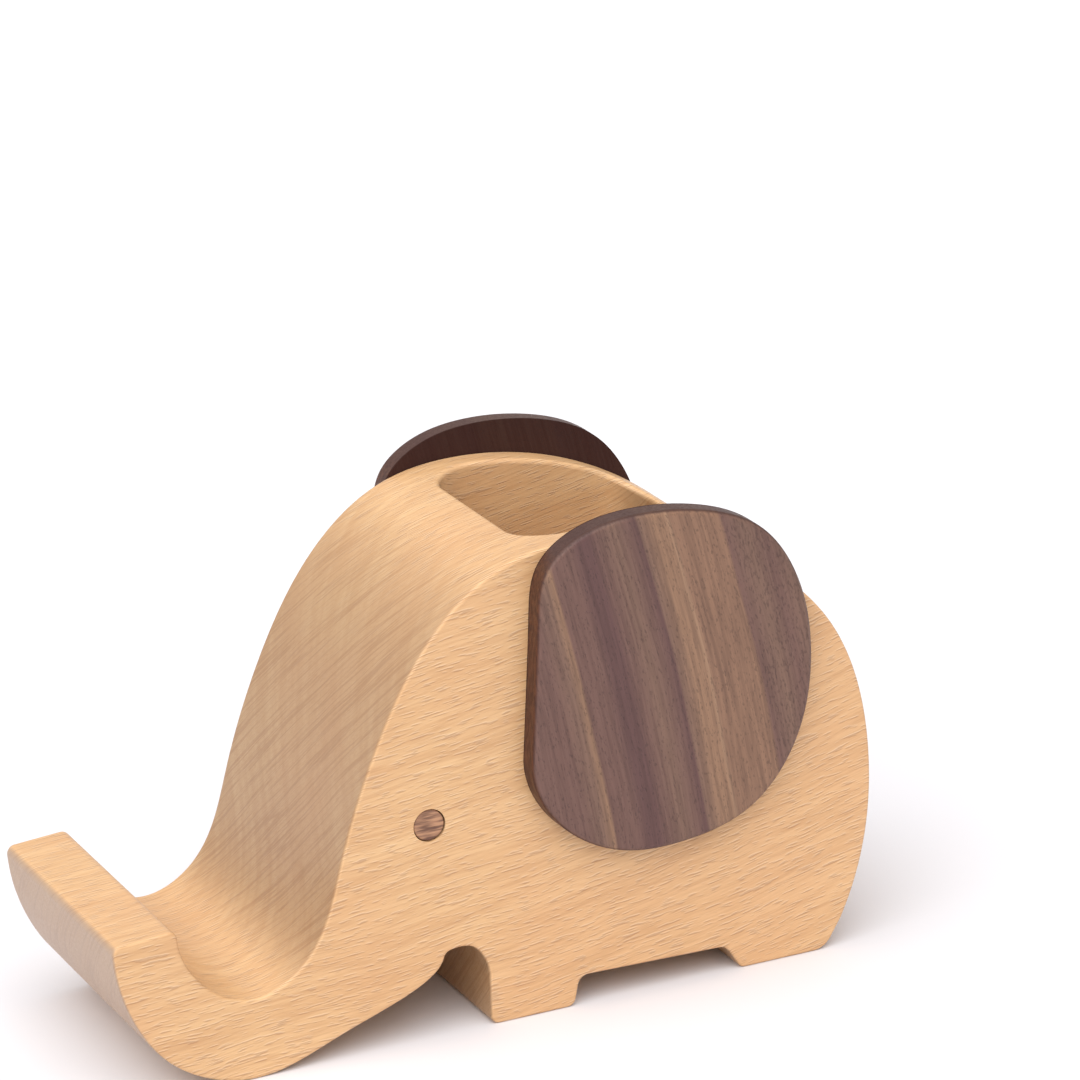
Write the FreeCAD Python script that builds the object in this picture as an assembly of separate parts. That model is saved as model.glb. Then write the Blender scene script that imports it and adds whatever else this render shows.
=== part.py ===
"""Elephant desk organizer: a beech body with a pen pocket and a curled trunk that holds a phone.

Frame: millimetres, +Z up, X along the elephant with the trunk towards -X and the rump towards +X,
the left flank towards -Y. The origin is the centre of the footprint, with the feet on z = 0.
"""
import FreeCAD, Part
import os

Vector = FreeCAD.Vector

# Driving dimensions of the body
body_width = 66.0
back_height = 106.3
edge_round = 0.7
tip_round = 2.0
toe_round = 2.0
heel_round = 5.0
leg_hollow_round = 2.6

# Trunk, from its upturned tip to the arch in front of the front leg
tip_outer = (-89.2, 36.5)
tip_inner = (-74.4, 37.5)
trunk_low_x = -58.6
trough_floor = 18.2
arch_top = (-10.2, 19.6)
arch_foot = (-4.1, 11.0)

# Legs and belly
front_leg_x = (-4.3, 15.6)
rear_leg_x = (56.0, 76.8)
heel_top = (81.0, 6.5)
belly_front = (17.2, 6.7)
belly_rear = (52.4, 5.8)

# Pen pocket, cut straight down from the back
pocket_x = (11.8, 61.8)
pocket_width = 53.0
pocket_corner = 10.0
pocket_floor_z = 24.0
rim_round = 1.0

# Ears: flat plates glued to the flanks and standing above the back
ear_thickness = 5.3
ear_edge_round = 1.2
right_ear_forward = 5.9
right_ear_up = 1.9

# Eyes: round plugs in blind holes, a hair below the flank
eye_centre = (-16.3, 49.0)
eye_diameter = 7.0
eye_gap = 0.2
eye_hole_depth = 6.0
eye_recess = 0.3
eye_edge_round = 0.25

flank = body_width / 2
hair = 0.1


def in_profile(x, z):
    """A point of the side view, on the middle plane."""
    return Vector(x, 0, z)


def straight(start, end):
    return Part.makeLine(in_profile(*start), in_profile(*end))


def curve_through(points, tangents=None):
    """A smooth edge through side-view points, with set directions at its two ends if given."""
    spline = Part.BSplineCurve()
    path = [in_profile(*point) for point in points]
    if tangents:
        start, end = (in_profile(*tangent) for tangent in tangents)
        spline.interpolate(Points=path, InitialTangent=start, FinalTangent=end)
    else:
        spline.interpolate(Points=path)
    return spline.toShape()


def closed_curve_through(points):
    """A smooth closed outline through side-view points."""
    spline = Part.BSplineCurve()
    spline.interpolate(Points=[in_profile(*point) for point in points], PeriodicFlag=True)
    return spline.toShape()


def trunk_underside():
    """From the tip's outer corner, round the trunk's low point, and up to the arch."""
    return curve_through(
        [tip_outer, (-86.0, 20.0), (-77.0, 6.9), (trunk_low_x, 0.0), (-37.5, 6.0), (-14.5, 17.6), arch_top],
        tangents=[(0.0, -1.0), (1.0, 0.0)],
    )


def arch_to_front_leg():
    """The rounded top of the arch, running down into the front of the front leg."""
    return curve_through([arch_top, (-5.6, 16.8), arch_foot], tangents=[(1.0, 0.0), (0.0, -1.0)])


def leg_and_belly_edges():
    """Front leg, belly gap and rear leg, as straight lines whose corners are rounded later."""
    corners = [
        arch_foot,
        (front_leg_x[0], 0.0),
        (front_leg_x[1], 0.0),
        belly_front,
        belly_rear,
        (rear_leg_x[0], 0.0),
        (rear_leg_x[1], 0.0),
        heel_top,
    ]
    return [straight(start, end) for start, end in zip(corners, corners[1:])]


def back_line():
    """Inside of the trunk, phone trough, forehead, back and rump, down to the heel."""
    return curve_through([
        tip_inner, (-72.2, 27.5), (-59.5, trough_floor), (-47.3, 23.0), (-37.0, 44.4), (-27.6, 68.4),
        (-14.4, 89.8), (2.5, 103.0), (21.8, back_height), (45.4, 102.3), (64.4, 92.7), (80.6, 76.4),
        (89.08, 45.0), (86.6, 21.0), heel_top,
    ])


def side_profile():
    edges = [trunk_underside(), arch_to_front_leg(), *leg_and_belly_edges(), back_line()]
    edges.append(straight(tip_inner, tip_outer))
    return Part.Face(Part.Wire(Part.__sortEdges__(edges)))


def cross_edges_at(solid, corner):
    """The edges that run across the body at a given corner of the side view."""
    found = []
    for edge in solid.Edges:
        box = edge.BoundBox
        in_place = abs(box.Center.x - corner[0]) < hair and abs(box.Center.z - corner[1]) < hair
        if in_place and box.YLength > flank:
            found.append(edge)
    return found


def flank_outlines(solid):
    """The long outlines of the side view, where it meets the two flanks."""
    return [edge for edge in solid.Edges if edge.BoundBox.YLength < hair]


def rounded_body():
    """The sawn and sanded blank, before the pocket and the eye holes."""
    side = side_profile()
    side.translate(Vector(0, -flank, 0))
    solid = side.extrude(Vector(0, body_width, 0))
    corners = [
        (tip_outer, tip_round),
        (tip_inner, tip_round),
        ((front_leg_x[0], 0.0), toe_round),
        ((front_leg_x[1], 0.0), toe_round),
        (belly_front, leg_hollow_round),
        (belly_rear, leg_hollow_round),
        ((rear_leg_x[0], 0.0), toe_round),
        ((rear_leg_x[1], 0.0), heel_round),
    ]
    for corner, radius in corners:
        solid = solid.makeFillet(radius, cross_edges_at(solid, corner))
    return solid.makeFillet(edge_round, flank_outlines(solid))


def pocket_block():
    """The waste of the pen pocket: an upright block with rounded corners, taller than the back."""
    length = pocket_x[1] - pocket_x[0]
    corner = Vector(pocket_x[0], -pocket_width / 2, pocket_floor_z)
    block = Part.makeBox(length, pocket_width, back_height, corner)
    upright = [edge for edge in block.Edges if edge.BoundBox.ZLength > hair]
    return block.makeFillet(pocket_corner, upright)


def pocket_rim(solid):
    """The edges where the pocket comes out through the back."""
    rim = []
    for edge in solid.Edges:
        box = edge.BoundBox
        along = box.XMin > pocket_x[0] - hair and box.XMax < pocket_x[1] + hair
        across = max(abs(box.YMin), abs(box.YMax)) < pocket_width / 2 + hair
        from_floor = box.ZMin < pocket_floor_z + hair
        if along and across and not from_floor:
            rim.append(edge)
    return rim


def eye_hole(side):
    """The blind hole for one eye; side is -1 for the left flank and 1 for the right."""
    start = Vector(eye_centre[0], side * (flank - eye_hole_depth), eye_centre[1])
    return Part.makeCylinder(eye_diameter / 2 + eye_gap, 2 * eye_hole_depth, start, Vector(0, side, 0))


def elephant_body():
    hollowed = rounded_body().cut(pocket_block())
    rimmed = hollowed.makeFillet(rim_round, pocket_rim(hollowed))
    return rimmed.cut([eye_hole(-1), eye_hole(1)])


def ear(side, forward, up):
    """One ear plate, its inner face flat on the flank and its outer edge rounded."""
    outline = closed_curve_through([
        (6.2, 60.0), (7.1, 70.0), (8.0, 80.0), (8.9, 91.0), (11.3, 102.2), (18.5, 108.2), (31.7, 111.1),
        (47.0, 109.7), (62.2, 103.0), (71.2, 88.5), (73.3, 72.0), (69.0, 53.0), (57.0, 39.3), (42.0, 35.0),
        (28.0, 35.4), (15.6, 41.3), (8.6, 49.5),
    ])
    plate = Part.Face(Part.Wire([outline])).extrude(Vector(0, side * ear_thickness, 0))
    outer = [edge for edge in plate.Edges if abs(edge.BoundBox.Center.y) > ear_thickness - hair]
    plate = plate.makeFillet(ear_edge_round, outer)
    plate.translate(Vector(-forward, side * flank, up))
    return plate


def eye(side):
    """One eye plug, resting on the floor of its hole, its outer edge broken."""
    length = eye_hole_depth - eye_recess
    plug = Part.makeCylinder(eye_diameter / 2, length, Vector(0, 0, 0), Vector(0, side, 0))
    outer = [edge for edge in plug.Edges if abs(edge.BoundBox.Center.y) > length - hair]
    plug = plug.makeFillet(eye_edge_round, outer)
    plug.translate(Vector(eye_centre[0], side * (flank - eye_hole_depth), eye_centre[1]))
    return plug


nodes = {
    "elephant_body": elephant_body(),
    "left_ear": ear(-1, 0.0, 0.0),
    "right_ear": ear(1, right_ear_forward, right_ear_up),
    "left_eye": eye(-1),
    "right_eye": eye(1),
}

os.makedirs("parts", exist_ok=True)
for name, shape in nodes.items():
    shape.exportStep(f"parts/{name}.step")
    box = shape.BoundBox
    print(name, shape.isValid(), len(shape.Solids), round(shape.Volume),
          [round(value, 2) for value in (box.XMin, box.XMax, box.YMin, box.YMax, box.ZMin, box.ZMax)])
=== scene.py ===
import bpy
import math
from collections import namedtuple
from mathutils import Matrix, Vector


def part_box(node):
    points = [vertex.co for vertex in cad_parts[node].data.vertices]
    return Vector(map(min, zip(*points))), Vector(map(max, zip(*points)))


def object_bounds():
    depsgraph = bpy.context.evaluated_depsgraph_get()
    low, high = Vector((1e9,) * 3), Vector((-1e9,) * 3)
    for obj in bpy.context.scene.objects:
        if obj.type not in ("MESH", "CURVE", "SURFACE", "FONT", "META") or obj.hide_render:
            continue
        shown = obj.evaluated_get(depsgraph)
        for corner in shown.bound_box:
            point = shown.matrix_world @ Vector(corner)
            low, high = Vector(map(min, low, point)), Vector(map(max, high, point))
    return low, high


# Looks of the elephant desk organizer: oiled beech body, walnut ears and eyes, pale studio floor.
# Units are metres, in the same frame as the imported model: +Z up, the trunk towards -X, the left
# flank towards -Y, the soles on z = 0.

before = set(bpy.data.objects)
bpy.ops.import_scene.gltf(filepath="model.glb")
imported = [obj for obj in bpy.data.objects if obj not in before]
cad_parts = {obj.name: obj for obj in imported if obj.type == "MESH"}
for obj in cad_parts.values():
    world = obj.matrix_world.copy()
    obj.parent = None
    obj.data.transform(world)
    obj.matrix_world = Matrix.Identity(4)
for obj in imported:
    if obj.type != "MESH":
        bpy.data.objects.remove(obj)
cad_low, cad_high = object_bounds()

# Camera: a long lens, a little above the back, turned towards the left flank
view_azimuth = math.radians(-23.83)
view_elevation = math.radians(19.13)
view_roll = math.radians(-2.72)
lens_mm = 187.2
sensor_mm = 36.0
camera_distance = 1.2242
camera_reach = 50.0
frame_centre_right = 0.0228
frame_centre_up = 0.0414

# Light and floor: the key light stands high, in front of the trunk and to the left
key_towards = (-0.33, -0.39, 0.86)
key_strength = 2.80
key_spread = math.radians(75.0)
sky_colour = (1.0, 1.0, 1.0, 1.0)
sky_strength = 0.64
floor_tint = (0.80, 0.785, 0.81, 1.0)
floor_roughness = 0.9
floor_size = 40.0

# Every noise runs from 0 to 1 about this middle
noise_middle = 0.5

# Beech fibres rise towards the rump along a curve, the dashes less than the threads, and wander a little
Rise = namedtuple("Rise", "slope growth")
thread_rise = Rise(0.15, 0.60)
dash_rise = Rise(0.11, 0.50)
beech_wander = 0.0035
beech_wander_scale = 26.0

# Beech marks: their length along the fibre, thickness across it and depth into the block, how detailed
# and rough their noise is, where on that noise they start and are full, and how strongly they show
Mark = namedtuple("Mark", "length thickness depth detail roughness starts full strength")
dash = Mark(0.0034, 0.00027, 0.020, 1.0, 0.4, 0.54, 0.70, 0.44)
thread = Mark(0.0130, 0.00050, 0.030, 2.0, 0.5, 0.46, 0.74, 0.40)
fibre = Mark(0.0060, 0.00020, 0.0012, 3.0, 0.6, 0.35, 0.75, 0.30)
ring = Mark(0.1200, 0.03000, 0.0024, 2.0, 0.5, 0.30, 0.70, 1.0)

# A ray is a line where its noise passes through the middle; it shows more on end grain than elsewhere
ray = Mark(0.0500, 0.00160, 0.060, 2.0, 0.5, 0.0, 0.06, 0.30)
ray_end_strength = 0.60

# Each dash has a painted highlight, a pale line this far below it, as if the dash's edge caught the
# light
highlight_drop = 0.00018
highlight_strength = 0.40

# Soft rosy clouds over the beech
cloud_scale = 22.0
cloud_range = (0.30, 0.70)
cloud_strength = 0.5

# How squarely a face looks forwards (-1) or rearwards (+1) where end grain starts and is full
front_end_full = -0.95
front_end_starts = -0.35
rump_end_starts = 0.60
rump_end_full = 1.00
rump_end_strength = 0.6
end_grain_marks = 0.25

# A painted sheen: the trunk's tip is greyer on its outer face, standing in for the reflection of the
# bright floor, forwards of this stretch of x
tip_full = -0.084
tip_starts = -0.076
tip_sheen_strength = 0.4

# Roughness follows the fibres from the first number to the second; relief is the depth of the marks
fibre_range = (0.3, 0.7)
beech_roughness = (0.34, 0.46)
beech_relief = 0.00004
beech_fibre_height = 0.3
beech_thread_hollow = 0.5

# Walnut streaks lean forward with height, more so near the top of the ear
streak_lean = 0.20
streak_bend = 0.6
streak_wander = 0.003
streak_wander_scale = 18.0

# Walnut fibres and pores: how many to a metre across the streaks and up the ear, and how they show;
# behind the open grain's places, which go from 0 at an ear's front to 1 at its rear, they are larger
walnut_fibres = (1500.0, 60.0)
walnut_fibre_range = (0.30, 0.75)
walnut_fibre_strength = 0.45
walnut_pores = (3200.0, 1000.0)
walnut_pore_range = (0.58, 0.72)
walnut_pore_strength = 0.38
open_grain_range = (0.76, 0.84)
open_grain_gain = 0.05

# An ear's rim starts where the surface turns away from the side; its top is darker and duller
rim_full = 0.5
rim_starts = 0.9
rim_strength = 0.9
rim_line_range = (0.35, 0.65)
rim_end_range = (0.3, 0.9)
rim_end_strength = 0.8

# The ear's inner face, against the flank, is darker and duller: fully so up to the first distance from
# the flank, not at all beyond the second
inner_face_full = 0.0001
inner_face_starts = 0.0005
inner_face_strength = 0.95
inner_face_extra_roughness = 0.4

walnut_roughness = (0.42, 0.56)
walnut_shine = 0.4
walnut_relief = 0.000025
walnut_fibre_height = 0.4

# Eye plugs: how many streaks to a metre along x, y and z
eye_streaks = (160.0, 400.0, 1300.0)
eye_streak_range = (0.35, 0.65)
eye_roughness = 0.5
eye_relief = 0.00002


def card(red, green, blue):
    """A linear colour from the 0-255 values printed on a paint card, by the usual screen curve."""
    def linear(value):
        share = value / 255
        return share / 12.92 if share <= 0.04045 else ((share + 0.055) / 1.055) ** 2.4
    return linear(red), linear(green), linear(blue), 1.0


beech_pale = card(228, 187, 138)
beech_tan = card(219, 175, 126)
beech_rosy = card(218, 167, 121)
beech_thread = card(192, 143, 98)
beech_dash = card(150, 98, 60)
# Painted highlight: the pale line below each dash
beech_painted_highlight = card(246, 216, 178)
beech_end_shade = card(203, 203, 206)
# Painted sheen on the outer face of the trunk's tip
beech_tip_sheen = card(184, 163, 150)

walnut_purple = card(97, 67, 64)
walnut_brown = card(114, 83, 74)
walnut_soft_brown = card(125, 95, 80)
walnut_tan = card(141, 106, 84)
walnut_gold = card(149, 114, 89)
walnut_pale = card(158, 124, 98)
walnut_dark = card(70, 48, 44)
walnut_pore = card(48, 31, 27)
walnut_rim = card(86, 48, 30)
walnut_rim_line = card(60, 32, 24)
walnut_rim_end = card(70, 43, 36)
# Darker tone of an ear's inner face, against the flank
walnut_inner_face = card(50, 18, 10)
eye_pale = card(188, 140, 106)
eye_dark = card(104, 70, 54)

# Walnut streaks from the front of an ear to its rear, as places from 0 to 1 and their tones; where
# two places are close together the streak has a sharp edge or is a thin line
walnut_streaks = [
    (0.00, walnut_brown),
    (0.09, walnut_brown),
    (0.15, walnut_soft_brown),
    (0.18, walnut_gold),
    (0.19, walnut_brown),
    (0.26, walnut_brown),
    (0.30, walnut_purple),
    (0.34, walnut_purple),
    (0.37, walnut_brown),
    (0.43, walnut_soft_brown),
    (0.48, walnut_brown),
    (0.51, walnut_purple),
    (0.52, walnut_soft_brown),
    (0.57, walnut_gold),
    (0.61, walnut_gold),
    (0.62, walnut_pale),
    (0.63, walnut_tan),
    (0.79, walnut_tan),
    (0.80, walnut_brown),
    (0.87, walnut_soft_brown),
    (0.93, walnut_brown),
    (1.00, walnut_soft_brown),
]

# A mix node's colour sockets share their names with its number sockets, so they go by their places
mix_first = 6
mix_second = 7
mix_result = 2


class Finish:
    """A wood finish under construction: its node tree, with short words for the steps."""

    def __init__(self, name):
        self.material = bpy.data.materials.new(name)
        self.material.use_nodes = True
        self.tree = self.material.node_tree
        self.shader = self.tree.nodes["Principled BSDF"]
        self.point = self.node("ShaderNodeTexCoord").outputs["Object"]

    def node(self, kind, **settings):
        made = self.tree.nodes.new(kind)
        for setting, value in settings.items():
            setattr(made, setting, value)
        return made

    def feed(self, value, socket):
        """Links a value that varies, or writes a plain one on the socket."""
        if isinstance(value, bpy.types.NodeSocket):
            self.tree.links.new(value, socket)
        else:
            socket.default_value = value

    def reckon(self, operation, first, second=0.0):
        made = self.node("ShaderNodeMath", operation=operation)
        self.feed(first, made.inputs[0])
        self.feed(second, made.inputs[1])
        return made.outputs[0]

    def plus(self, first, second):
        return self.reckon("ADD", first, second)

    def minus(self, first, second):
        return self.reckon("SUBTRACT", first, second)

    def times(self, first, second):
        return self.reckon("MULTIPLY", first, second)

    def size_of(self, value):
        return self.reckon("ABSOLUTE", value)

    def split(self, vector):
        made = self.node("ShaderNodeSeparateXYZ")
        self.feed(vector, made.inputs[0])
        return made.outputs["X"], made.outputs["Y"], made.outputs["Z"]

    def join(self, x, y, z):
        made = self.node("ShaderNodeCombineXYZ")
        for value, socket in zip((x, y, z), made.inputs):
            self.feed(value, socket)
        return made.outputs[0]

    def noise(self, vector, scale=1.0, detail=2.0, roughness=0.5):
        made = self.node("ShaderNodeTexNoise")
        self.feed(vector, made.inputs["Vector"])
        made.inputs["Scale"].default_value = scale
        made.inputs["Detail"].default_value = detail
        made.inputs["Roughness"].default_value = roughness
        return made.outputs["Fac"]

    def between(self, value, low, high, out_low=0.0, out_high=1.0):
        """A smooth step from out_low to out_high while the value goes from low to high."""
        made = self.node("ShaderNodeMapRange", interpolation_type="SMOOTHSTEP")
        self.feed(value, made.inputs["Value"])
        limits = {"From Min": low, "From Max": high, "To Min": out_low, "To Max": out_high}
        for socket, limit in limits.items():
            made.inputs[socket].default_value = limit
        return made.outputs["Result"]

    def mix(self, amount, first, second, way="MIX"):
        made = self.node("ShaderNodeMix", data_type="RGBA", blend_type=way)
        self.feed(amount, made.inputs["Factor"])
        self.feed(first, made.inputs[mix_first])
        self.feed(second, made.inputs[mix_second])
        return made.outputs[mix_result]

    def streaks(self, value, stops):
        """Colours in bands along a value that goes from 0 to 1."""
        made = self.node("ShaderNodeValToRGB")
        self.feed(value, made.inputs["Fac"])
        elements = made.color_ramp.elements
        while len(elements) < len(stops):
            elements.new(0.5)
        for element, (place, colour) in zip(elements, stops):
            element.position = place
            element.color = colour
        return made.outputs["Color"]

    def normal(self):
        """The surface's direction along x, y and z, from -1 to 1 each."""
        return self.split(self.node("ShaderNodeNewGeometry").outputs["Normal"])

    def relief(self, height, depth):
        made = self.node("ShaderNodeBump")
        self.feed(height, made.inputs["Height"])
        made.inputs["Distance"].default_value = depth
        self.feed(made.outputs["Normal"], self.shader.inputs["Normal"])


def across_and_inwards(finish, rise):
    """Two directions square to the rising fibres, each at 45 degrees to the flanks."""
    x, y, z = finish.split(finish.point)
    climb = finish.plus(finish.times(x, rise.slope), finish.times(finish.times(x, x), rise.growth))
    wander = finish.minus(finish.noise(finish.point, scale=beech_wander_scale), noise_middle)
    level = finish.plus(finish.minus(z, climb), finish.times(wander, beech_wander))
    slant = math.sqrt(0.5)
    return finish.times(finish.plus(level, y), slant), finish.times(finish.minus(level, y), slant)


def grain(finish, axes, kind, lift=0.0):
    """Noise drawn out to one kind of mark; lift moves it across the fibres."""
    x = finish.split(finish.point)[0]
    across, inwards = axes
    place = finish.join(
        finish.times(x, 1 / kind.length),
        finish.times(finish.minus(across, lift), 1 / kind.thickness),
        finish.times(inwards, 1 / kind.depth),
    )
    return finish.noise(place, detail=kind.detail, roughness=kind.roughness)


def marks(finish, axes, kind, lift=0.0):
    """One kind of mark, from 0 between the marks to 1 on them."""
    return finish.between(grain(finish, axes, kind, lift), kind.starts, kind.full)


def oiled_beech():
    """Pale tan beech: fibres along the elephant, rising to the rear, with its rays at 45 degrees."""
    finish = Finish("oiled_beech")
    for_threads = across_and_inwards(finish, thread_rise)
    for_dashes = across_and_inwards(finish, dash_rise)
    dashes = marks(finish, for_dashes, dash)
    # Where the painted highlight falls, just below each dash
    dash_highlights = marks(finish, for_dashes, dash, highlight_drop)
    threads = marks(finish, for_threads, thread)
    ray_side = finish.size_of(finish.minus(grain(finish, for_threads, ray), noise_middle))
    rays = finish.between(ray_side, ray.starts, ray.full, 1.0, 0.0)
    fibres = grain(finish, for_threads, fibre)
    rings = marks(finish, for_threads, ring)
    cloud_noise = finish.noise(finish.point, scale=cloud_scale)
    clouds = finish.between(cloud_noise, *cloud_range, 0.0, cloud_strength)

    rearwards = finish.normal()[0]
    front_end = finish.between(rearwards, front_end_full, front_end_starts, 1.0, 0.0)
    rump_end = finish.between(rearwards, rump_end_starts, rump_end_full, 0.0, rump_end_strength)
    end_grain = finish.plus(front_end, rump_end)
    fading = finish.between(end_grain, 0.0, 1.0, 1.0, end_grain_marks)
    showing = finish.between(end_grain, 0.0, 1.0, ray.strength, ray_end_strength)
    sheen_at_tip = finish.between(finish.split(finish.point)[0], tip_full, tip_starts, tip_sheen_strength, 0.0)

    tone = finish.mix(rings, beech_pale, beech_tan)
    tone = finish.mix(clouds, tone, beech_rosy)
    fibre_lines = finish.between(fibres, fibre.starts, fibre.full, 0.0, fibre.strength)
    tone = finish.mix(fibre_lines, tone, beech_thread)
    tone = finish.mix(finish.times(rays, showing), tone, beech_thread)
    tone = finish.mix(finish.times(threads, finish.times(fading, thread.strength)), tone, beech_thread)
    # Paint the pale highlight below each dash
    tone = finish.mix(finish.times(dash_highlights, finish.times(fading, highlight_strength)), tone, beech_painted_highlight)
    tone = finish.mix(finish.times(dashes, finish.times(fading, dash.strength)), tone, beech_dash)
    tone = finish.mix(end_grain, tone, beech_end_shade, "MULTIPLY")
    # Painted sheen: the tip's outer face turns greyer, as if it reflected the floor
    tone = finish.mix(finish.times(front_end, sheen_at_tip), tone, beech_tip_sheen)
    finish.feed(tone, finish.shader.inputs["Base Color"])

    gloss = finish.between(fibres, *fibre_range, *beech_roughness)
    finish.feed(gloss, finish.shader.inputs["Roughness"])
    hollows = finish.plus(dashes, finish.times(threads, beech_thread_hollow))
    height = finish.minus(finish.times(fibres, beech_fibre_height), finish.times(hollows, fading))
    finish.relief(height, beech_relief)
    return finish.material


def lengthwise(finish, across, per_metre, detail, roughness=0.5):
    """Noise drawn out along the streaks, with so many steps to a metre across them and up the ear."""
    per_metre_across, per_metre_up = per_metre
    y, z = finish.split(finish.point)[1:]
    place = finish.join(
        finish.times(across, per_metre_across),
        finish.times(y, per_metre_across),
        finish.times(z, per_metre_up),
    )
    return finish.noise(place, detail=detail, roughness=roughness)


def walnut_face(finish, across, place):
    """The streaked colour of an ear's face, and the fibres and pores in it."""
    fibres = lengthwise(finish, across, walnut_fibres, detail=3.0, roughness=0.6)
    specks = lengthwise(finish, across, walnut_pores, detail=1.0)
    open_grain = finish.between(place, *open_grain_range, 0.0, open_grain_gain)
    pores = finish.between(finish.plus(specks, open_grain), *walnut_pore_range)
    fibre_lines = finish.between(fibres, *walnut_fibre_range, 0.0, walnut_fibre_strength)
    tone = finish.streaks(place, walnut_streaks)
    tone = finish.mix(fibre_lines, tone, walnut_dark)
    tone = finish.mix(finish.times(pores, walnut_pore_strength), tone, walnut_pore)
    return tone, fibres, pores


def oiled_walnut(name, low, high):
    """Purple-brown walnut: tan and dark streaks that run steeply down towards the rear."""
    finish = Finish(name)
    x, y, z = finish.split(finish.point)
    height = finish.minus(z, (low.z + high.z) / 2)
    lean = finish.plus(streak_lean, finish.times(height, streak_bend))
    drift = finish.noise(finish.point, scale=streak_wander_scale, detail=1.0)
    wander = finish.times(finish.minus(drift, noise_middle), streak_wander)
    across = finish.plus(finish.plus(x, finish.times(height, lean)), wander)
    place = finish.times(finish.minus(across, low.x), 1 / (high.x - low.x))
    tone, fibres, pores = walnut_face(finish, across, place)

    sideways, upwards = (finish.size_of(part) for part in finish.normal()[1:])
    rim = finish.between(sideways, rim_full, rim_starts, rim_strength, 0.0)
    rim_end = finish.between(upwards, *rim_end_range, 0.0, rim_end_strength)
    rim_tone = finish.mix(finish.between(fibres, *rim_line_range), walnut_rim, walnut_rim_line)
    rim_tone = finish.mix(rim_end, rim_tone, walnut_rim_end)
    tone = finish.mix(rim, tone, rim_tone)

    flank = min(abs(low.y), abs(high.y))
    from_flank = finish.minus(finish.size_of(y), flank)
    # The darker, duller inner face against the flank
    inner_face_side = finish.between(from_flank, inner_face_full, inner_face_starts, inner_face_strength, 0.0)
    tone = finish.mix(inner_face_side, tone, walnut_inner_face)
    finish.feed(tone, finish.shader.inputs["Base Color"])

    gloss = finish.between(fibres, *fibre_range, *walnut_roughness)
    gloss = finish.plus(gloss, finish.times(inner_face_side, inner_face_extra_roughness))
    finish.feed(gloss, finish.shader.inputs["Roughness"])
    finish.shader.inputs["Specular IOR Level"].default_value = walnut_shine
    finish.relief(finish.minus(finish.times(fibres, walnut_fibre_height), pores), walnut_relief)
    return finish.material


def eye_walnut(name):
    """Lighter, pinkish walnut with dark streaks across the plug."""
    finish = Finish(name)
    x, y, z = finish.split(finish.point)
    along_x, along_y, along_z = eye_streaks
    place = finish.join(finish.times(x, along_x), finish.times(y, along_y), finish.times(z, along_z))
    streak = finish.noise(place)
    tone = finish.mix(finish.between(streak, *eye_streak_range), eye_pale, eye_dark)
    finish.feed(tone, finish.shader.inputs["Base Color"])
    finish.shader.inputs["Roughness"].default_value = eye_roughness
    finish.relief(streak, eye_relief)
    return finish.material


def dress(node, material):
    """Gives a carried-over piece its finish."""
    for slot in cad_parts[node].material_slots:
        slot.material = material


def view_axes():
    """Right, up and back directions of the camera."""
    back = Vector((
        math.sin(view_azimuth) * math.cos(view_elevation),
        -math.cos(view_azimuth) * math.cos(view_elevation),
        math.sin(view_elevation),
    ))
    level_right = Vector((0, 0, 1)).cross(back).normalized()
    right = Matrix.Rotation(view_roll, 3, back) @ level_right
    return right, back.cross(right), back


def place_camera():
    right, up, back = view_axes()
    middle = (cad_low + cad_high) / 2
    place = middle + right * frame_centre_right + up * frame_centre_up + back * camera_distance
    camera = bpy.data.cameras.new("camera")
    camera.lens = lens_mm
    camera.sensor_width = sensor_mm
    camera.clip_end = camera_reach
    holder = bpy.data.objects.new("camera", camera)
    bpy.context.scene.collection.objects.link(holder)
    holder.matrix_world = Matrix.Translation(place) @ Matrix((right, up, back)).transposed().to_4x4()
    bpy.context.scene.camera = holder


def hang_softbox():
    """A very large, far softbox: even light from above, with soft shadows."""
    light = bpy.data.lights.new("key", "SUN")
    light.energy = key_strength
    light.angle = key_spread
    holder = bpy.data.objects.new("key", light)
    bpy.context.scene.collection.objects.link(holder)
    holder.rotation_euler = Vector(key_towards).to_track_quat("Z", "Y").to_euler()


def lay_floor():
    bpy.ops.object.select_all(action="DESELECT")
    bpy.ops.mesh.primitive_plane_add(size=floor_size, location=(0, 0, 0))
    floor = bpy.context.active_object
    floor.name = "floor"
    paper = bpy.data.materials.new("white_paper")
    paper.use_nodes = True
    shader = paper.node_tree.nodes["Principled BSDF"]
    shader.inputs["Base Color"].default_value = floor_tint
    shader.inputs["Roughness"].default_value = floor_roughness
    floor.data.materials.append(paper)


def light_studio():
    world = bpy.data.worlds.new("studio")
    world.use_nodes = True
    sky = world.node_tree.nodes["Background"]
    sky.inputs["Color"].default_value = sky_colour
    sky.inputs["Strength"].default_value = sky_strength
    bpy.context.scene.world = world
    hang_softbox()
    bpy.context.scene.view_settings.view_transform = "Standard"


dress("elephant_body", oiled_beech())
for ear in ("left_ear", "right_ear"):
    dress(ear, oiled_walnut(ear + "_walnut", *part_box(ear)))
for eye in ("left_eye", "right_eye"):
    dress(eye, eye_walnut(eye + "_walnut"))
lay_floor()
light_studio()
place_camera()
